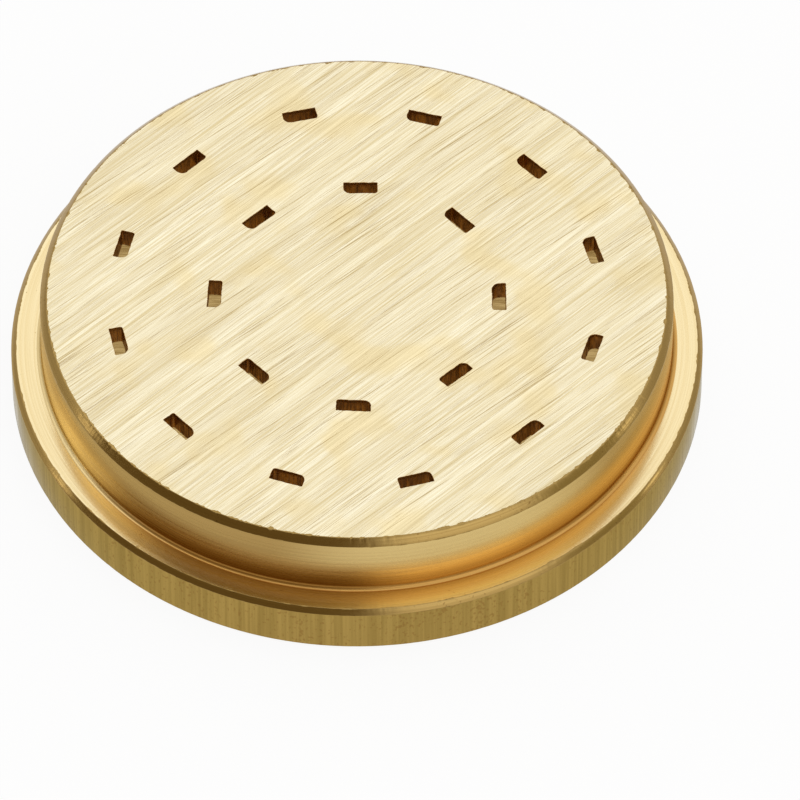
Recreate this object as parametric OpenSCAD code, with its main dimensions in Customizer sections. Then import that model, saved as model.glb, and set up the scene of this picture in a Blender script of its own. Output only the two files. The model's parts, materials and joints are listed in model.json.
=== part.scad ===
// Pasta extrusion die for flat ribbons: a disc turned from one piece of brass.
// A boss stands on a flange. Two rings of slots open in the boss's outlet face, and each slot
// is fed by a round chamber drilled from the inlet face.
// Millimetres, +Z up. The origin is the centre of the inlet face, which the disc lies on.

/* [Boss] */
// Diameter of the boss, which passes through the ring nut of the machine
boss_d = 52; // [46:0.5:60]
// Height of the boss above the flange
boss_h = 5.9; // [4:0.1:12]
// Chamfer around the outlet face
face_chamfer = 0.55; // [0.2:0.05:1]

/* [Flange] */
// How far the flange stands out beyond the boss, all round
flange_reach = 2.5; // [2:0.1:6]
// Thickness of the flange
flange_t = 4.7; // [3:0.1:8]
// Chamfer around the side of the flange that the ring nut clamps
shoulder_chamfer = 0.4; // [0.2:0.05:0.8]
// Chamfer around the inlet face
inlet_chamfer = 0.3; // [0.1:0.05:0.8]
// Fillet in the corner between the boss and the flange
root_fillet = 0.4; // [0.2:0.05:0.8]

/* [Ribbon slots] */
// Length of a slot along its ring, which sets the width of the ribbon
slot_l = 2.8; // [2:0.1:4]
// Width of a slot across its ring, which sets the thickness of the ribbon
slot_w = 1.1; // [0.7:0.05:1.6]
// Radius of a slot's inner corner at its anticlockwise end
wide_corner_r = 0.55; // [0.2:0.05:0.7]
// Radius of a slot's inner corner at its clockwise end
tight_corner_r = 0.2; // [0.1:0.05:0.5]
// Length of the straight slot from the outlet face down to its feed chamber
land_h = 1.8; // [1:0.1:3]

/* [Slot rings] */
// Distance from the boss's wall to the middle of the outer ring's slots
edge_distance = 6; // [4.5:0.1:8]
// Distance from the middle of the outer ring's slots to the middle of the inner ring's
ring_spacing = 8.4; // [6.5:0.1:10]
// Number of slots in the outer ring
outer_count = 12; // [6:1:16]
// Number of slots in the inner ring
inner_count = 8; // [4:1:9]

/* [Feed chambers] */
// How far a chamber's wall stands outside the ends of its slot
chamber_margin = 1.6; // [0.5:0.1:1.8]
// Chamfer around a chamber's mouth in the inlet face
mouth_chamfer = 0.3; // [0.1:0.05:0.5]

/* [Hidden] */

$fn = 96;
brass = [0.87, 0.77, 0.5];
// How far a cutting shape reaches past the face that it opens
overcut = 0.5;

boss_r = boss_d / 2;
flange_r = boss_r + flange_reach;
total_h = flange_t + boss_h;

outer_ring_r = boss_r - edge_distance;
inner_ring_r = outer_ring_r - ring_spacing;
// The outer ring is turned by half a pitch, so that no slot of it lies on the X axis
outer_start = 180 / outer_count;
inner_start = 0;

chamber_r = slot_l / 2 + chamber_margin;
chamber_h = total_h - land_h;

// Half of the disc's section, with its axis on the left
module disc_section() {
    polygon([
        [0, 0],
        [flange_r - inlet_chamfer, 0],
        [flange_r, inlet_chamfer],
        [flange_r, flange_t - shoulder_chamfer],
        [flange_r - shoulder_chamfer, flange_t],
        [boss_r, flange_t],
        [boss_r, total_h - face_chamfer],
        [boss_r - face_chamfer, total_h],
        [0, total_h]
    ]);
}

// Section of the fillet, in the corner between the boss and the flange
module root_fillet_section() {
    difference() {
        translate([boss_r, flange_t]) square(root_fillet);
        translate([boss_r + root_fillet, flange_t + root_fillet]) circle(root_fillet);
    }
}

// What a round corner takes away from a square one at the origin, towards +X and +Y
module corner_waste(r) {
    difference() {
        square(r);
        translate([r, r]) circle(r);
    }
}

// Slot seen from above, with +X pointing away from the disc's axis
module slot_outline() {
    difference() {
        translate([-slot_w / 2, -slot_l / 2]) square([slot_w, slot_l]);
        translate([-slot_w / 2, -slot_l / 2]) corner_waste(min(tight_corner_r, slot_w));
        translate([-slot_w / 2, slot_l / 2]) mirror([0, 1]) corner_waste(min(wide_corner_r, slot_w));
    }
}

// One passage for the dough: mouth, chamber and slot, along the Z axis
module passage() {
    translate([0, 0, -overcut]) cylinder(r = chamber_r, h = chamber_h + overcut);
    translate([0, 0, -overcut])
        cylinder(r1 = chamber_r + mouth_chamfer + overcut, r2 = chamber_r, h = mouth_chamfer + overcut);
    translate([0, 0, chamber_h - overcut])
        linear_extrude(land_h + 2 * overcut) slot_outline();
}

// Passages spaced evenly around the disc's axis
module passage_ring(ring_r, count, start) {
    for (i = [0 : count - 1])
        rotate(start + i * 360 / count) translate([ring_r, 0, 0]) passage();
}

module die_disc() {
    color(brass) difference() {
        rotate_extrude() {
            disc_section();
            root_fillet_section();
        }
        passage_ring(outer_ring_r, outer_count, outer_start);
        passage_ring(inner_ring_r, inner_count, inner_start);
    }
}

die_disc();
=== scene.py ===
# %% [markdown]
# # A brass pasta die
# A pasta die is a thick brass disc that closes the outlet of an extruder. Dough is pressed into round
# chambers from behind and leaves through narrow slots as flat ribbons. The disc is turned in one piece:
# a boss that passes through the ring nut, and a flange that the nut clamps. This lesson dresses the
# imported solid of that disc: it rebuilds its surface with the broken edges, tool marks and stains of the
# real one, then sets up the light and the camera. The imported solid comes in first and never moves.

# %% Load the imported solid
import json
import math
import random

import bmesh
import bpy
from mathutils import Matrix, Vector, geometry, noise

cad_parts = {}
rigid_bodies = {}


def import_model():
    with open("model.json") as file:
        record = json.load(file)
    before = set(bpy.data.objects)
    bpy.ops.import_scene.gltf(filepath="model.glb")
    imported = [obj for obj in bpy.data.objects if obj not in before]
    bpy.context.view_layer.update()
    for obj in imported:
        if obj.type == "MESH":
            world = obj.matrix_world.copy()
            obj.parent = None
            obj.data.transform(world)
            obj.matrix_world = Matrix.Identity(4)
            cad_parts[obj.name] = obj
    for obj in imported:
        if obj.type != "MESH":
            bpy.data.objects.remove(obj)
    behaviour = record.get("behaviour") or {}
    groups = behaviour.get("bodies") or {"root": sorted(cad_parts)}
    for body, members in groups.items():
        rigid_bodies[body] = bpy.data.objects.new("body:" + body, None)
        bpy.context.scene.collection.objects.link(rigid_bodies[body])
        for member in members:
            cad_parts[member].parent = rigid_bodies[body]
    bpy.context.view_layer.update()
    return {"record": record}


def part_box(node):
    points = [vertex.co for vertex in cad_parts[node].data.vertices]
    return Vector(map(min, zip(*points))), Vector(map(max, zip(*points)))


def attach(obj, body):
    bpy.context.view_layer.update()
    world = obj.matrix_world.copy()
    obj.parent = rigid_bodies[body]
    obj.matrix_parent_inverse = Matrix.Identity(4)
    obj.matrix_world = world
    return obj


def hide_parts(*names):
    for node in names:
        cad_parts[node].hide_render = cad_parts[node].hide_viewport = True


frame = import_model()
MM = 0.001

# %% [markdown]
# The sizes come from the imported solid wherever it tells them: its box gives the flange and the height,
# and the record's mounts give the boss and the clamped shoulder. Small edges, slots and chambers have no
# mount of their own, so they are written here once, in millimetres as on a workshop drawing. The mesh is
# built in millimetres too and scaled down to metres at the end, which keeps the numbers readable.

# %% Sizes of the die, in millimetres
_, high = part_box("die_disc")
mounts = {mount["name"]: mount for mount in frame["record"]["mounts"]}

flange_r = high.x / MM
total_h = high.z / MM
boss_r = mounts["boss"]["dims"]["r_mm"]
flange_t = mounts["clamp_shoulder"]["pos_m"][2] / MM

face_chamfer = 0.55
shoulder_chamfer = 0.4
inlet_chamfer = 0.3
root_fillet = 0.4

slot_l = 2.8
slot_w = 1.1
wide_corner_r = 0.55
tight_corner_r = 0.2
crisp_corner_r = 0.05
land_h = 1.8
chamber_r = 3.0
mouth_chamfer = 0.3

outer_ring_r = boss_r - 6.0
inner_ring_r = outer_ring_r - 8.4
outer_count = 12
inner_count = 8
roof_z = total_h - land_h
print(f"flange {2 * flange_r:.1f}, boss {2 * boss_r:.1f}, height {total_h:.1f} mm")

# %% [markdown]
# ## The camera
# The photograph was taken with a long lens from about 51 degrees above the table, with the disc a little
# left of and above the middle of the picture. A lens shift could place the disc, but it would spoil other
# views, so the camera is aimed at a point beside the disc instead. All numbers follow from the ellipses
# that the disc's circles make in the picture.

# %% Place the camera
view_height = math.radians(50.705)
view_side = math.radians(1.04)
view_distance = 915.0
lens_mm = 502.1
aim_right = 3.547
aim_down = 8.589

to_camera = Vector((math.sin(view_side) * math.cos(view_height),
                    -math.cos(view_side) * math.cos(view_height),
                    math.sin(view_height)))
right = Vector((math.cos(view_side), math.sin(view_side), 0))
up = to_camera.cross(right)
top_middle = Vector((0, 0, total_h))
aim = top_middle + right * aim_right - up * aim_down

camera_data = bpy.data.cameras.new("camera")
camera_data.lens = lens_mm
camera_data.sensor_width = 36
camera = bpy.data.objects.new("camera", camera_data)
camera.location = (aim + to_camera * view_distance) * MM
camera.rotation_euler = to_camera.to_track_quat("Z", "Y").to_euler()
bpy.context.scene.collection.objects.link(camera)
bpy.context.scene.camera = camera
print("camera at", [round(c, 4) for c in camera.location], "m")

# %% [markdown]
# ## The turned body
# On a lathe the body is one outline swept around an axis, and the mesh is made the same way: a profile of
# corners is spun in fine steps. A perfectly sharp corner looks false in metal, because real tools and
# handling leave a tiny rounding that catches light. So every corner becomes a short arc. The width of that
# arc wanders around the disc, and here and there it is wide, which gives the slightly ragged, nicked
# edges of the real piece. A bevel modifier would be simpler but gives the same width everywhere.

# %% Round one corner of a profile


def rounded(before, corner, after, radius, steps):
    """Points of the arc that rounds a corner between two straight runs."""
    to_before = (before - corner).normalized()
    to_after = (after - corner).normalized()
    half = to_before.angle(to_after) / 2
    reach = radius / math.tan(half)
    middle = corner + (to_before + to_after).normalized() * (radius / math.sin(half))
    first = corner + to_before * reach - middle
    turn = first.angle_signed(corner + to_after * reach - middle)
    points = []
    for step in range(steps + 1):
        part = first.copy()
        part.rotate(Matrix.Rotation(-turn * step / steps, 2))
        points.append(middle + part)
    return points


quarter = rounded(Vector((0, 1)), Vector((0, 0)), Vector((1, 0)), 0.5, 2)
print("a corner rounded by 0.5:", [tuple(round(c, 3) for c in point) for point in quarter])

# %% Profile of the body at one angle
ZONES = ["outlet_face", "shoulder", "edge", "wall", "rim", "slot_wall", "chamber", "inlet_face"]
edge_break = 0.05
edge_wander = 0.24
nick_depth = 0.30
widest_edge = 0.6
nick_least = 0.50
FINE_WAVES, COARSE_WAVES, NICK_WAVES = 130.0, 38.0, 45.0
FINE_SHARE, COARSE_SHARE = 0.4, 0.8
COARSE_OFFSET, NICK_OFFSET = Vector((7, 3, 0)), Vector((1, 9, 5))
lane_step = 3.1


def edge_width(angle, lane):
    """Width of an edge's rounding at one angle; a rare high spot of the noise is a nick."""
    place = Vector((math.cos(angle), math.sin(angle), lane))
    fine = noise.noise(place * FINE_WAVES)
    coarse = noise.noise(place * COARSE_WAVES + COARSE_OFFSET)
    nick = max(0.0, noise.noise(place * NICK_WAVES + NICK_OFFSET) - nick_least) / (1 - nick_least)
    width = edge_break + edge_wander * max(0.0, FINE_SHARE * fine + COARSE_SHARE * coarse)
    return width + nick_depth * nick


# Radius, height and the share of the edge's width that the corner gets; None is the fillet
CORNERS = [
    (boss_r - face_chamfer, total_h, 2.4),
    (boss_r, total_h - face_chamfer, 1.0),
    (boss_r, flange_t, None),
    (flange_r - shoulder_chamfer, flange_t, 1.2),
    (flange_r, flange_t - shoulder_chamfer, 0.8),
    (flange_r, inlet_chamfer, 0.6),
    (flange_r - inlet_chamfer, 0.0, 0.6),
]
RUN_ZONES = ["edge", "wall", "shoulder", "edge", "rim", "edge"]
RUN_STEPS = [1, 2, 1, 1, 2, 1]
arc_steps = 3
fillet_steps = 8


def body_profile(angle):
    """Points (r, z) from the outlet face down to the inlet face, each with the zone of the run after it."""
    ends = [Vector((0, total_h))] + [Vector(c[:2]) for c in CORNERS] + [Vector((0, 0))]
    points = []
    for i, (_, _, share) in enumerate(CORNERS):
        if share is None:
            arc = rounded(ends[i], ends[i + 1], ends[i + 2], root_fillet, fillet_steps)
        else:
            width = min(widest_edge, share * edge_width(angle, i * lane_step))
            arc = rounded(ends[i], ends[i + 1], ends[i + 2], width, arc_steps)
        if points:
            start = points[-1][0]
            for step in range(1, RUN_STEPS[i - 1]):
                points.append((start.lerp(arc[0], step / RUN_STEPS[i - 1]), RUN_ZONES[i - 1]))
        after = RUN_ZONES[min(i, len(RUN_ZONES) - 1)]
        own = "wall" if share is None else "edge"
        points += [(point, own) for point in arc[:-1]] + [(arc[-1], after)]
    return points


print("profile:", len(body_profile(0.0)), "points from face to face")

# %% Spin the profile
SPIN_STEPS = 2160
body = bmesh.new()


def bridge(first, second, zone):
    """Quads of one zone between two closed loops that have the same number of points."""
    count = len(first)
    for i in range(count):
        j = (i + 1) % count
        face = body.faces.new((first[i], first[j], second[j], second[i]))
        face.material_index = ZONES.index(zone)
        face.smooth = True


columns = [body_profile(2 * math.pi * i / SPIN_STEPS) for i in range(SPIN_STEPS)]
rings = []
for level in range(len(columns[0])):
    loop = []
    for i, column in enumerate(columns):
        angle = 2 * math.pi * i / SPIN_STEPS
        point = column[level][0]
        loop.append(body.verts.new((point.x * math.cos(angle), point.x * math.sin(angle), point.y)))
    rings.append(loop)
for level in range(len(rings) - 1):
    bridge(rings[level], rings[level + 1], columns[0][level][1])
print("body:", len(body.faces), "faces around", len(rings), "rings")

# %% [markdown]
# ## Slots and chambers
# Each slot is cut through a thin land, and a wide round chamber brings the dough to it from behind. The
# outward edge of a slot is straight with crisp corners, and the inward corners are rounded, one much more
# than the other. The cutter leaves a slightly wavy outline, and no two slots are quite alike: each sits a
# touch off its place. A boolean cut would give the same slot 20 times with poor edges, so each outline is
# drawn point by point, given its own waver and a thin worn lip, and led down to its chamber.

# %% Outline of a slot
outline_step = 0.09
slot_waver = 0.032
lip = 0.035
WAVER_SCALE, RIPPLE_SCALE, RIPPLE_SHARE = 2.4, 2.7, 0.6
slot_seed_step = 5.3
ARC_PER_RADIUS = 1.6


def slot_outline(seed):
    """Closed outline (radial, sideways) of one slot and its outward normals, with the waver of its cutter."""
    half_w, half_l = slot_w / 2, slot_l / 2
    corners = [(half_w, -half_l, crisp_corner_r), (half_w, half_l, crisp_corner_r),
               (-half_w, half_l, wide_corner_r), (-half_w, -half_l, tight_corner_r)]
    points = []
    for i, (x, y, radius) in enumerate(corners):
        before, after = Vector(corners[i - 1][:2]), Vector(corners[(i + 1) % 4][:2])
        steps = max(3, round(radius * ARC_PER_RADIUS / outline_step))
        arc = rounded(before, Vector((x, y)), after, radius, steps)
        if points:
            points += straight_run(points[-1], arc[0])
        points += arc
    points += straight_run(points[-1], points[0])
    outline = []
    for i, point in enumerate(points):
        along = points[(i + 1) % len(points)] - points[i - 1]
        out = Vector((along.y, -along.x)).normalized()
        place = Vector((point.x * WAVER_SCALE, point.y * WAVER_SCALE, seed * slot_seed_step))
        waver = noise.noise(place) + RIPPLE_SHARE * noise.noise(place * RIPPLE_SCALE)
        outline.append((point + out * slot_waver * waver, out))
    return outline


def straight_run(start, end):
    """Points between two ends, without the ends."""
    steps = max(1, round((end - start).length / outline_step))
    return [start.lerp(end, step / steps) for step in range(1, steps)]


print("slot outline:", len(slot_outline(0)), "points")

# %% Cut every passage
INSIDE_EDGES = 1
CHAMBER_STEPS = 72
WALL_STEPS = 5
place_waver = 0.07
turn_waver = math.radians(2.2)
land_shake = 0.03
SHAKE_ACROSS, SHAKE_ALONG = 5, 2
LIP_ROUND = 0.3
MERGE_DISTANCE = 1e-6
random.seed(11)


def passage(ring_r, angle, seed):
    """One slot with its lip, land and chamber; gives back the loops that open in the two faces."""
    middle = Vector((ring_r + random.uniform(-place_waver, place_waver), 0))
    side = random.uniform(-place_waver, place_waver)
    turn = random.uniform(-turn_waver, turn_waver)
    outline = slot_outline(seed)

    def slot_loop(grow, z, shake):
        loop = []
        for point, out in outline:
            spot = point + out * grow
            if shake:
                place = Vector((spot.x * SHAKE_ACROSS, spot.y * SHAKE_ACROSS, z * SHAKE_ALONG + seed))
                spot = spot + out * shake * noise.noise(place)
            spot.rotate(Matrix.Rotation(turn, 2))
            spot = spot + middle + Vector((0, side))
            spot.rotate(Matrix.Rotation(angle, 2))
            loop.append(body.verts.new((spot.x, spot.y, z)))
        return loop

    worn = lip * LIP_ROUND
    loops = [slot_loop(lip, total_h, 0), slot_loop(worn, total_h - worn, 0)]
    loops.append(slot_loop(0, total_h - lip, 0))
    for step in range(1, WALL_STEPS + 1):
        depth = lip + (land_h - lip) * step / WALL_STEPS
        loops.append(slot_loop(0, total_h - depth, land_shake))
    for upper, lower in zip(loops, loops[1:]):
        bridge(upper, lower, "slot_wall")

    axis = Vector((ring_r, 0))
    axis.rotate(Matrix.Rotation(angle, 2))

    def chamber_loop(radius, z):
        loop = []
        for i in range(CHAMBER_STEPS):
            around_axis = 2 * math.pi * i / CHAMBER_STEPS
            x = axis.x + radius * math.cos(around_axis)
            y = axis.y + radius * math.sin(around_axis)
            loop.append(body.verts.new((x, y, z)))
        return loop

    chamber = [chamber_loop(chamber_r, roof_z), chamber_loop(chamber_r, roof_z / 2),
               chamber_loop(chamber_r, mouth_chamfer), chamber_loop(chamber_r + mouth_chamfer, 0)]
    for upper, lower in zip(chamber, chamber[1:]):
        bridge(upper, lower, "chamber")
    fill([chamber[0], loops[-1]], "chamber")
    return loops[0], chamber[-1]


def is_inside(spot, outline):
    """Even-odd test of a flat point against a closed outline."""
    inside = False
    for start, end in zip(outline, outline[1:] + outline[:1]):
        if (start.y > spot.y) != (end.y > spot.y):
            crossing = start.x + (spot.y - start.y) * (end.x - start.x) / (end.y - start.y)
            inside ^= spot.x < crossing
    return inside


def fill(loops, zone):
    """Flat face between an outer loop and the loops inside it; its triangles keep every edge of the loops."""
    verts, edges, owners = [], [], []
    for number, loop in enumerate(loops):
        start, count = len(verts), len(loop)
        verts += loop
        owners += [number] * count
        edges += [(start + i, start + (i + 1) % count) for i in range(count)]
    spots = [vert.co.xy for vert in verts]
    outlines = [[vert.co.xy for vert in loop] for loop in loops]
    found = geometry.delaunay_2d_cdt(spots, edges, [], INSIDE_EDGES, MERGE_DISTANCE)
    for triangle in found[2]:
        corners = [found[3][i][0] for i in triangle]
        owner = owners[corners[0]]
        if owner and all(owners[i] == owner for i in corners):
            middle = (spots[corners[0]] + spots[corners[1]] + spots[corners[2]]) / 3
            if is_inside(middle, outlines[owner]):
                continue
        face = body.faces.new([verts[i] for i in corners])
        face.material_index = ZONES.index(zone)
        face.smooth = False


SLOT_RINGS = [(outer_ring_r, outer_count, math.pi / outer_count), (inner_ring_r, inner_count, 0.0)]
outlets, inlets = [], []
for ring_r, count, start in SLOT_RINGS:
    for i in range(count):
        outlet, inlet = passage(ring_r, start + 2 * math.pi * i / count, len(outlets))
        outlets.append(outlet)
        inlets.append(inlet)
fill([rings[0]] + outlets, "outlet_face")
fill([rings[-1]] + inlets, "inlet_face")
print(len(outlets), "passages cut")

# %% [markdown]
# The surface is now one closed skin. Edges where two faces meet at a clear angle stay sharp, and a weighted
# normal modifier gives flat faces their true direction, so that the tiny arcs beside them can't bend the
# reflections.

# %% Finish the mesh
sharp_angle = math.radians(32)
bmesh.ops.recalc_face_normals(body, faces=body.faces)
open_edges = [edge for edge in body.edges if len(edge.link_faces) != 2]
for edge in body.edges:
    edge.smooth = edge.calc_face_angle(0.0) < sharp_angle
bmesh.ops.scale(body, vec=(MM, MM, MM), verts=body.verts)
die_mesh = bpy.data.meshes.new("brass_die")
body.to_mesh(die_mesh)
body.free()
die = bpy.data.objects.new("brass_die", die_mesh)
bpy.context.scene.collection.objects.link(die)
weighted = die.modifiers.new("flat_faces", "WEIGHTED_NORMAL")
weighted.keep_sharp = True
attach(die, "root")
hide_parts("die_disc")
print("die:", len(die_mesh.polygons), "faces,", len(open_edges), "open edges")

# %% [markdown]
# ## Finishes
# Every surface is the same brass, but each was made by another tool. The outlet face is brushed straight
# across, the chamfers, wall and shoulder are turned, and the rim still has the drawn skin of the bar. Some of
# their colours also hold painted light and shade, as each finish tells. What these finishes share is built
# once
# as node groups: lines left by a tool, small pits, and stains, which also carry painted shade. Each material
# feeds them with its own direction, width and colours. Painted pictures could hold the same marks, but nodes
# keep them sharp at any distance.

# %% Helpers for node trees


def add(tree, kind, **settings):
    """A new node with some of its settings; inputs are given by name in a dictionary."""
    node = tree.nodes.new(kind)
    values = settings.pop("inputs", {})
    for name, value in settings.items():
        setattr(node, name, value)
    for socket, value in values.items():
        node.inputs[socket].default_value = value
    return node


def new_group(name, inputs, outputs):
    """An empty shader group with named sockets, and its two end nodes."""
    group = bpy.data.node_groups.new(name, "ShaderNodeTree")
    for socket, kind, value in inputs:
        made = group.interface.new_socket(socket, in_out="INPUT", socket_type=kind)
        made.default_value = value
    for socket, kind in outputs:
        group.interface.new_socket(socket, in_out="OUTPUT", socket_type=kind)
    return group, group.nodes.new("NodeGroupInput"), group.nodes.new("NodeGroupOutput")


def ramp(tree, source, low_from, high_from, low_to=0.0, high_to=1.0):
    """Stretches a value from one range to another and stops at its ends."""
    node = add(tree, "ShaderNodeMapRange", interpolation_type="SMOOTHSTEP",
               inputs={"From Min": low_from, "From Max": high_from, "To Min": low_to, "To Max": high_to})
    tree.links.new(source, node.inputs["Value"])
    return node.outputs["Result"]


def math_node(tree, operation, first, second=None):
    """A math node on sockets or plain numbers."""
    node = add(tree, "ShaderNodeMath", operation=operation)
    for i, value in enumerate((first, second)):
        if isinstance(value, bpy.types.NodeSocket):
            tree.links.new(value, node.inputs[i])
        elif value is not None:
            node.inputs[i].default_value = value
    return node.outputs[0]


# %% [markdown]
# A tool leaves marks that are narrow across its path and long along it. Noise squeezed in one direction has
# just that look. Three sizes are laid over each other: fine hairlines, streaks as wide as a grain of the
# belt, and broad bands where it pressed harder. The group only needs coordinates that are already stretched
# along the tool's path.

# %% Group: tool lines
lines_group, ends, out = new_group(
    "Tool lines",
    [("Vector", "NodeSocketVector", (0, 0, 0)), ("Streak Share", "NodeSocketFloat", 0.5)],
    [("Lines", "NodeSocketFloat"), ("Hairlines", "NodeSocketFloat"), ("Bands", "NodeSocketFloat")])


def noise_layer(tree, vector, scale, detail):
    """Plain noise at one scale."""
    node = add(tree, "ShaderNodeTexNoise", inputs={"Scale": scale, "Detail": detail})
    tree.links.new(vector, node.inputs["Vector"])
    return node.outputs["Fac"]


FINE_SCALE, STREAK_SCALE, BAND_SCALE = 1.0, 0.31, 0.045
fine = noise_layer(lines_group, ends.outputs["Vector"], FINE_SCALE, 3)
streak = noise_layer(lines_group, ends.outputs["Vector"], STREAK_SCALE, 2)
band = noise_layer(lines_group, ends.outputs["Vector"], BAND_SCALE, 1)
mixed = add(lines_group, "ShaderNodeMix")
lines_group.links.new(ends.outputs["Streak Share"], mixed.inputs["Factor"])
lines_group.links.new(fine, mixed.inputs["A"])
lines_group.links.new(streak, mixed.inputs["B"])
lines_group.links.new(ramp(lines_group, mixed.outputs["Result"], 0.34, 0.66), out.inputs["Lines"])
lines_group.links.new(ramp(lines_group, fine, 0.60, 0.66), out.inputs["Hairlines"])
lines_group.links.new(ramp(lines_group, band, 0.3, 0.7), out.inputs["Bands"])
print("group:", lines_group.name)

# %% [markdown]
# Pits are the small dark dots of a used surface. They gather in patches, so a slow noise says where they
# may lie and a fast one makes the dots.

# %% Group: pits
pits_group, ends, out = new_group(
    "Pits",
    [("Vector", "NodeSocketVector", (0, 0, 0)), ("Dots per mm", "NodeSocketFloat", 4.0),
     ("Least", "NodeSocketFloat", 0.66)],
    [("Mask", "NodeSocketFloat")])
dots = add(pits_group, "ShaderNodeTexNoise", inputs={"Detail": 1})
pits_group.links.new(ends.outputs["Vector"], dots.inputs["Vector"])
pits_group.links.new(ends.outputs["Dots per mm"], dots.inputs["Scale"])
PATCH_SCALE, GATHER, GATHER_START = 0.21, 0.35, -0.17
patches = noise_layer(pits_group, ends.outputs["Vector"], PATCH_SCALE, 1)
gathered = math_node(pits_group, "MULTIPLY_ADD", patches, GATHER)
gathered.node.inputs[2].default_value = GATHER_START
raised = math_node(pits_group, "ADD", dots.outputs["Fac"], gathered)
over = math_node(pits_group, "SUBTRACT", raised, ends.outputs["Least"])
pits_group.links.new(ramp(pits_group, over, 0.0, 0.05), out.inputs["Mask"])
print("group:", pits_group.name)

# %% [markdown]
# Brass is pale where the tool left it bright and deeper, more brown, in its scratches and where hands have
# stained it. The tone group blends three colours of one finish by the masks of the other groups. On the wall
# of the boss the third colour and its mask carry painted shade and painted light.

# %% Group: brass tone
tone_group, ends, out = new_group(
    "Brass tone",
    [("Bright", "NodeSocketColor", (0.8, 0.7, 0.45, 1)), ("Deep", "NodeSocketColor", (0.6, 0.45, 0.2, 1)),
     ("Stain and Shade", "NodeSocketColor", (0.3, 0.18, 0.06, 1)), ("Lines", "NodeSocketFloat", 0.5),
     ("Marks and Shade", "NodeSocketFloat", 0.0)],
    [("Color", "NodeSocketColor")])


def blend(tree, share, first, second):
    """Colour between two colours; each may be a socket."""
    node = add(tree, "ShaderNodeMix", data_type="RGBA")
    for socket, value in ((node.inputs["Factor"], share), (node.inputs[6], first), (node.inputs[7], second)):
        if isinstance(value, bpy.types.NodeSocket):
            tree.links.new(value, socket)
        else:
            socket.default_value = value
    return node.outputs[2]


# The third colour lays stains and pits, and on the wall of the boss painted shade and painted light.
cut = blend(tone_group, ends.outputs["Lines"], ends.outputs["Deep"], ends.outputs["Bright"])
worn = blend(tone_group, ends.outputs["Marks and Shade"], cut, ends.outputs["Stain and Shade"])
tone_group.links.new(worn, out.inputs["Color"])
print("group:", tone_group.name)

# %% [markdown]
# Each finish is a metal with one Principled shader. The helper below sets up what they share: coordinates in
# millimetres, the tool lines along the given stretch, the tone, and a shallow bump.

# %% Start a brass finish


def brass_finish(name, stretch, bright, deep, stain_and_shade, rough, depth, turn=0.0, streaks=0.5):
    """A brass material with tool lines; gives back its parts for what is special in each finish."""
    material = bpy.data.materials.new(name)
    material.use_nodes = True
    tree = material.node_tree
    tree.nodes.clear()
    output = add(tree, "ShaderNodeOutputMaterial")
    shader = add(tree, "ShaderNodeBsdfPrincipled", inputs={"Metallic": 1.0})
    tree.links.new(shader.outputs["BSDF"], output.inputs["Surface"])

    where = add(tree, "ShaderNodeTexCoord")
    in_mm = add(tree, "ShaderNodeMapping", vector_type="POINT",
                inputs={"Rotation": (0, 0, turn), "Scale": (1 / MM, 1 / MM, 1 / MM)})
    tree.links.new(where.outputs["Object"], in_mm.inputs["Vector"])
    lines = add(tree, "ShaderNodeGroup", node_tree=lines_group, inputs={"Streak Share": streaks})
    tree.links.new(stretch(tree, in_mm.outputs["Vector"]), lines.inputs["Vector"])
    tone = add(tree, "ShaderNodeGroup", node_tree=tone_group,
               inputs={"Bright": bright + (1,), "Deep": deep + (1,), "Stain and Shade": stain_and_shade + (1,)})
    tree.links.new(lines.outputs["Lines"], tone.inputs["Lines"])
    tree.links.new(tone.outputs["Color"], shader.inputs["Base Color"])
    tree.links.new(ramp(tree, lines.outputs["Lines"], 0, 1, rough[1], rough[0]), shader.inputs["Roughness"])
    bump = add(tree, "ShaderNodeBump", inputs={"Strength": 1.0, "Distance": depth * MM})
    tree.links.new(lines.outputs["Lines"], bump.inputs["Height"])
    tree.links.new(bump.outputs["Normal"], shader.inputs["Normal"])
    die.data.materials.append(material)
    return tree, in_mm.outputs["Vector"], lines, tone, shader


def squeezed(sizes):
    """Stretch for lines whose sizes along X, Y and Z are given in millimetres."""
    def stretch(tree, vector):
        node = add(tree, "ShaderNodeVectorMath", operation="MULTIPLY")
        tree.links.new(vector, node.inputs[0])
        node.inputs[1].default_value = [1 / size for size in sizes]
        return node.outputs["Vector"]
    return stretch


def straight(across, along):
    """Stretch for lines along X."""
    return squeezed((along, across, across))


def upright(across, along):
    """Stretch for lines along the disc's axis."""
    return squeezed((across, across, along))


def around(across, along):
    """Stretch for lines that run round the axis, on walls, faces and chamfers alike."""
    def stretch(tree, vector):
        parts = add(tree, "ShaderNodeSeparateXYZ")
        tree.links.new(vector, parts.inputs["Vector"])
        square_x = math_node(tree, "MULTIPLY", parts.outputs["X"], parts.outputs["X"])
        square_y = math_node(tree, "MULTIPLY", parts.outputs["Y"], parts.outputs["Y"])
        radius = math_node(tree, "SQRT", math_node(tree, "ADD", square_x, square_y))
        level = math_node(tree, "SUBTRACT", parts.outputs["Z"], radius)
        joined = add(tree, "ShaderNodeCombineXYZ")
        for axis, value, size in (("X", parts.outputs["X"], along), ("Y", parts.outputs["Y"], along),
                                  ("Z", level, across)):
            tree.links.new(math_node(tree, "DIVIDE", value, size), joined.inputs[axis])
        return joined.outputs["Vector"]
    return stretch
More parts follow.
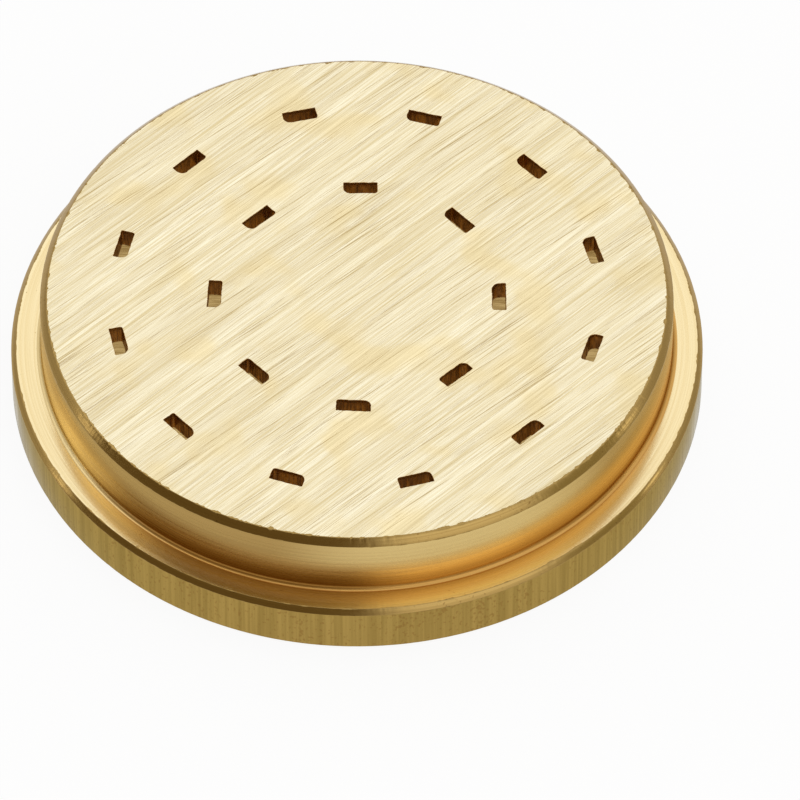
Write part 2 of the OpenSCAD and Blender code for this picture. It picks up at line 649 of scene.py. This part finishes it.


# %% [markdown]
# The outlet face was drawn straight across an abrasive belt. Its lines run from the near left to the far
# right. They show mostly as pale and tan streaks, because the room it mirrors is evenly bright. Its nearly
# white base colour is partly painted light: it stands in for the washed-out glare of the brightly lit face.
# Dough has left faint yellow patches on it.

# %% Finish: brushed outlet face
YELLOWED = (0.98, 0.84, 0.52, 1)
SCRATCHED, CROSS_SCRATCHED, PRESSED = 0.62, 0.75, 0.12
patch_scale = 0.17
# Partly painted light: the face's pale base colour stands in for its bright, washed-out glare.
tree, place, lines, tone, _ = brass_finish(
    "brushed_brass_painted_light", straight(0.075, 9.0), bright=(1.0, 0.93, 0.71), deep=(0.745, 0.62, 0.355),
    stain_and_shade=(0.38, 0.25, 0.075), rough=(0.24, 0.36), depth=0.0016, turn=math.radians(-45), streaks=0.30)
astray = add(tree, "ShaderNodeMapping", inputs={"Rotation": (0, 0, math.radians(4)), "Location": (3, 40, 0)})
tree.links.new(place, astray.inputs["Vector"])
second = add(tree, "ShaderNodeGroup", node_tree=lines_group)
tree.links.new(straight(0.10, 14.0)(tree, astray.outputs["Vector"]), second.inputs["Vector"])
scratches = math_node(tree, "MAXIMUM", math_node(tree, "MULTIPLY", lines.outputs["Hairlines"], SCRATCHED),
                      math_node(tree, "MULTIPLY", second.outputs["Hairlines"], CROSS_SCRATCHED))
pressed = math_node(tree, "MULTIPLY", lines.outputs["Bands"], PRESSED)
tree.links.new(math_node(tree, "MAXIMUM", scratches, pressed), tone.inputs["Marks and Shade"])
patches = ramp(tree, noise_layer(tree, place, patch_scale, 2), 0.50, 0.66)
tree.links.new(blend(tree, patches, tone.inputs["Bright"].default_value, YELLOWED), tone.inputs["Bright"])
print("finish:", "brushed_brass_painted_light")

# %% [markdown]
# The shoulder was turned with a fine tool and a slow feed. It is almost a mirror and stays the palest part
# of the die, because the ring nut rubs it clean.

# %% Finish: turned shoulder
tree, place, _, tone, _ = brass_finish(
    "turned_brass", around(0.07, 14.0), bright=(0.91, 0.76, 0.45), deep=(0.83, 0.66, 0.35),
    stain_and_shade=(0.45, 0.28, 0.10), rough=(0.13, 0.22), depth=0.0006)
pits = add(tree, "ShaderNodeGroup", node_tree=pits_group, inputs={"Dots per mm": 5.0, "Least": 0.80})
tree.links.new(place, pits.inputs["Vector"])
tree.links.new(pits.outputs["Mask"], tone.inputs["Marks and Shade"])
print("finish:", "turned_brass")

# %% [markdown]
# The chamfers were turned too. Their dark old gold is painted shade: it stands in for the dark surroundings
# that the real chamfers mirror, and so it outlines the die.

# %% Finish: chamfers
# Painted shade: the chamfers' dark base colour stands in for dark reflections.
tree, place, _, tone, _ = brass_finish(
    "edge_brass_painted_shade", around(0.07, 14.0), bright=(0.40, 0.265, 0.088), deep=(0.33, 0.212, 0.066),
    stain_and_shade=(0.22, 0.125, 0.035), rough=(0.13, 0.22), depth=0.0006)
pits = add(tree, "ShaderNodeGroup", node_tree=pits_group, inputs={"Dots per mm": 5.0, "Least": 0.74})
tree.links.new(place, pits.inputs["Vector"])
tree.links.new(pits.outputs["Mask"], tone.inputs["Marks and Shade"])
print("finish:", "edge_brass_painted_shade")

# %% [markdown]
# The wall of the boss was turned as well, but the nut never touches it, so it has darkened to a deep gold.
# Towards the outlet face it is painted a dull tan, a painted shade for the darker table that the real wall
# mirrors there. One patch at the front right is painted paler as painted light, and the left is painted paler
# all the way down, as painted light from that side. The corner at its foot is painted brown as painted shade,
# except at the far left. Painting it by height and side with ramps keeps these in their places.

# %% Finish: wall of the boss
SHADE_TAN = (0.40, 0.26, 0.088, 1)
LIT_PATCH_GOLD = (0.66, 0.49, 0.20, 1)
GOLD = (0.68, 0.40, 0.12, 1)
LIT_LEFT_GOLD = (0.66, 0.51, 0.25, 1)
FOOT_SHADE = (0.36, 0.17, 0.035, 1)
WALL_SHEEN = (0.95, 0.84, 0.60, 1)
lit_patch_toward = math.radians(20 - 90)
lit_patch_from, lit_patch_full = boss_r * 0.82, boss_r * 0.99
top_shade_z, top_shade_full_z = flange_t + 1.4, total_h - 2.0
foot_shade_z, foot_shade_end_z = flange_t + 0.5, flange_t + 2.2
foot_z, foot_end_z = flange_t - 0.15, flange_t + 0.35
tree, place, _, tone, shader = brass_finish(
    "wall_brass_painted_light_and_shade", around(0.10, 10.0), bright=GOLD[:3], deep=(0.58, 0.33, 0.095),
    stain_and_shade=SHADE_TAN[:3], rough=(0.22, 0.32), depth=0.0008)
shader.inputs["Specular Tint"].default_value = WALL_SHEEN
# Painted shade: darker tan towards the outlet face and brown in the corner at its foot. Painted light: a paler
# patch at the front right and a paler left side.
spot = add(tree, "ShaderNodeSeparateXYZ")
tree.links.new(place, spot.inputs["Vector"])
top_shade = ramp(tree, spot.outputs["Z"], top_shade_z, top_shade_full_z, 0.0, 0.95)
foot_shade = ramp(tree, spot.outputs["Z"], foot_shade_z, foot_shade_end_z, 1.0, 0.0)
foot_shade = math_node(tree, "MULTIPLY", foot_shade, ramp(tree, spot.outputs["Z"], foot_z, foot_end_z))
foot_shade = math_node(tree, "MULTIPLY", foot_shade, ramp(tree, spot.outputs["X"], -23, -15, 0.05, 0.88))
tree.links.new(math_node(tree, "MAXIMUM", top_shade, foot_shade), tone.inputs["Marks and Shade"])
lit_left = ramp(tree, spot.outputs["X"], -24, -12)
tree.links.new(blend(tree, lit_left, LIT_LEFT_GOLD, GOLD), tone.inputs["Bright"])
tree.links.new(blend(tree, lit_left, LIT_LEFT_GOLD, tone.inputs["Deep"].default_value), tone.inputs["Deep"])
reach = add(tree, "ShaderNodeVectorMath", operation="DOT_PRODUCT")
tree.links.new(place, reach.inputs[0])
reach.inputs[1].default_value = (math.cos(lit_patch_toward), math.sin(lit_patch_toward), 0)
lit_patch = ramp(tree, reach.outputs["Value"], lit_patch_from, lit_patch_full)
above = ramp(tree, spot.outputs["Z"], top_shade_z, top_shade_z + 1.0)
tree.links.new(blend(tree, above, FOOT_SHADE, blend(tree, lit_patch, SHADE_TAN, LIT_PATCH_GOLD)), tone.inputs["Stain and Shade"])
print("finish:", "wall_brass_painted_light_and_shade")

# %% [markdown]
# The rim is the skin of the drawn bar: faint streaks along the axis, and small smeared pits. Its dull dark
# olive
# is painted shade: it stands in for the shaded table next to the die that the real rim mirrors.

# %% Finish: drawn rim
RIM_SHEEN = (0.72, 0.70, 0.58, 1)
# Painted shade: the rim's dark olive base colour stands in for the shaded floor it mirrors.
tree, place, _, tone, shader = brass_finish(
    "drawn_brass_painted_shade", upright(0.22, 12.0), bright=(0.40, 0.265, 0.072), deep=(0.31, 0.20, 0.05),
    stain_and_shade=(0.24, 0.12, 0.026), rough=(0.14, 0.24), depth=0.0008)
shader.inputs["Specular Tint"].default_value = RIM_SHEEN
pits = add(tree, "ShaderNodeGroup", node_tree=pits_group, inputs={"Dots per mm": 4.2, "Least": 0.64})
tall = add(tree, "ShaderNodeMapping", inputs={"Scale": (1, 1, 0.7)})
tree.links.new(place, tall.inputs["Vector"])
tree.links.new(tall.outputs["Vector"], pits.inputs["Vector"])
tree.links.new(math_node(tree, "MULTIPLY", pits.outputs["Mask"], 0.5), tone.inputs["Marks and Shade"])
print("finish:", "drawn_brass_painted_shade")

# %% [markdown]
# The land of a slot is cut through in one stroke and never polished. It is rough and has turned a warm brown
# from dough that dried in it; its darkness is also partly painted shade of the deep, narrow slot.

# %% Finish: slot land
# Partly painted shade: the land's dark base colour also stands in for the shade inside the narrow slot.
brass_finish(
    "slot_brass_stain_and_shade", upright(0.12, 1.2), bright=(0.50, 0.25, 0.055), deep=(0.30, 0.135, 0.028),
    stain_and_shade=(0.12, 0.05, 0.014), rough=(0.35, 0.55), depth=0.004)
print("finish:", "slot_brass_stain_and_shade")

# %% [markdown]
# The chambers are drilled, and the drill leaves fine rings in them. Since then they have dulled a little.
# Noise that is long across the axis and short along it looks like such rings in every chamber, so none needs
# its own centre.

# %% Finish: drilled chamber
CHAMBER_SHEEN = (0.75, 0.65, 0.42, 1)
*_, shader = brass_finish(
    "drilled_brass", upright(1.5, 0.12), bright=(0.58, 0.41, 0.17), deep=(0.36, 0.23, 0.08),
    stain_and_shade=(0.36, 0.20, 0.07), rough=(0.16, 0.28), depth=0.0015)
shader.inputs["Specular Tint"].default_value = CHAMBER_SHEEN
print("finish:", "drilled_brass")

# %% [markdown]
# The inlet face was faced on the lathe. It lies on the machine's barrel, so it has circles like the shoulder,
# a little coarser, and nothing else: no picture shows it, so it stays plain.

# %% Finish: faced inlet face
brass_finish(
    "faced_brass", around(0.14, 16.0), bright=(0.84, 0.69, 0.37), deep=(0.74, 0.56, 0.26),
    stain_and_shade=(0.36, 0.20, 0.07), rough=(0.18, 0.28), depth=0.0012)
print("finish:", "faced_brass")

# %% [markdown]
# ## Light
# Polished metal shows its surroundings more than its own colour, so the room is part of the look. The die
# stands in a white tent that is a little darker near the table, with one dark card in front on the left and
# a small one on the right. They draw the dark lines along the front edges. Brighter panels at the back left
# and the front right give the gleams on wall and edges. Area lamps could make all these, but a painted sky
# gives the same with less noise. Azimuth is counted from the camera's side, to the right.

# %% Paint the tent
world = bpy.data.worlds.new("tent")
bpy.context.scene.world = world
world.use_nodes = True
tree = world.node_tree
tree.nodes.clear()
direction = add(tree, "ShaderNodeTexCoord")
parts = add(tree, "ShaderNodeSeparateXYZ")
tree.links.new(direction.outputs["Generated"], parts.inputs["Vector"])
toward = math_node(tree, "MULTIPLY", parts.outputs["Y"], -1.0)
azimuth = math_node(tree, "ARCTAN2", parts.outputs["X"], toward)
elevation = math_node(tree, "ARCSINE", parts.outputs["Z"])


def card_mask(azimuths, elevations, soft):
    """1 inside a card given by two azimuths and two elevations in degrees, with soft edges."""
    masks = []
    for angle, (start, end) in ((azimuth, azimuths), (elevation, elevations)):
        middle, half = math.radians((start + end) / 2), math.radians((end - start) / 2)
        away = math_node(tree, "ABSOLUTE", math_node(tree, "SUBTRACT", angle, middle))
        masks.append(ramp(tree, away, half - math.radians(soft), half + math.radians(soft), 1.0, 0.0))
    return math_node(tree, "MULTIPLY", masks[0], masks[1])


def grey(level):
    """A neutral colour."""
    return (level, level, level, 1)


TENT = {"low": (0.72, 0.69, 0.62, 1), "high": grey(1.095)}
BROWN = (0.26, 0.20, 0.105, 1)
OLIVE = (0.54, 0.50, 0.34, 1)
# Name, azimuths, elevations, softness of the edges in degrees, and colour
CARDS = [
    ("front_left", (-92, 7), (12, 66), 6, BROWN),
    ("right", (62, 96), (14, 34), 5, OLIVE),
    ("front_right", (14, 58), (26, 46), 6, grey(1.5)),
    ("left_lamp", (-125, -115), (36, 66), 4, grey(2.0)),
    ("left_spot", (-95, -90), (15, 21), 2, grey(4.0)),
    ("right_spot", (92, 99), (15, 21), 2, grey(2.5)),
]
LOW_TENT, HIGH_TENT = math.radians(8), math.radians(34)
rise = ramp(tree, elevation, LOW_TENT, HIGH_TENT)
paint = blend(tree, rise, TENT["low"], TENT["high"])
for _, azimuths, elevations, soft, colour in CARDS:
    paint = blend(tree, card_mask(azimuths, elevations, soft), paint, colour)
background = add(tree, "ShaderNodeBackground", inputs={"Strength": 1.0})
tree.links.new(paint, background.inputs["Color"])
world_output = add(tree, "ShaderNodeOutputWorld")
tree.links.new(background.outputs["Background"], world_output.inputs["Surface"])
print("tent with", len(CARDS), "cards")

# %% [markdown]
# The floor is a plain pale sheet. Part of its white comes as light of its own for the rays of the camera and
# of mirrors, as a sheet lit from behind would give, and the rest is ordinary white that takes the disc's
# shadow. It lies a hair under the die, because two faces in one plane flicker, and it is clear from below,
# so that the inlet face can be looked at too.

# %% Lay the floor
floor_size = 6.0
floor_drop = 0.02
glow_share = 0.92
paper_white = 0.93
floor_mesh = bpy.data.meshes.new("floor")
half = floor_size / 2
corners = [(-half, -half, 0), (half, -half, 0), (half, half, 0), (-half, half, 0)]
floor_mesh.from_pydata(corners, [], [(0, 1, 2, 3)])
floor = bpy.data.objects.new("floor", floor_mesh)
floor.location.z = -floor_drop * MM
bpy.context.scene.collection.objects.link(floor)
sheet = bpy.data.materials.new("white_sheet")
sheet.use_nodes = True
tree = sheet.node_tree
tree.nodes.clear()
paper = add(tree, "ShaderNodeBsdfDiffuse", inputs={"Color": grey(paper_white)})
glow = add(tree, "ShaderNodeEmission", inputs={"Color": grey(1.0), "Strength": 1.0})
path = add(tree, "ShaderNodeLightPath")
seen = math_node(tree, "MAXIMUM", path.outputs["Is Camera Ray"], path.outputs["Is Glossy Ray"])
seen = math_node(tree, "MAXIMUM", seen, path.outputs["Is Transmission Ray"])
share = math_node(tree, "MULTIPLY", seen, glow_share)
both = add(tree, "ShaderNodeMixShader")
tree.links.new(share, both.inputs["Fac"])
tree.links.new(paper.outputs["BSDF"], both.inputs[1])
tree.links.new(glow.outputs["Emission"], both.inputs[2])
side = add(tree, "ShaderNodeNewGeometry")
clear = add(tree, "ShaderNodeBsdfTransparent")
one_sided = add(tree, "ShaderNodeMixShader")
tree.links.new(side.outputs["Backfacing"], one_sided.inputs["Fac"])
tree.links.new(both.outputs["Shader"], one_sided.inputs[1])
tree.links.new(clear.outputs["BSDF"], one_sided.inputs[2])
sheet_output = add(tree, "ShaderNodeOutputMaterial")
tree.links.new(one_sided.outputs["Shader"], sheet_output.inputs["Surface"])
floor_mesh.materials.append(sheet)
print("floor:", floor_size, "m across")

# %% [markdown]
# ## Finish
# Colours are shown as they are, without a film look.

# %% Close the scene
bpy.context.scene.view_settings.view_transform = "Standard"
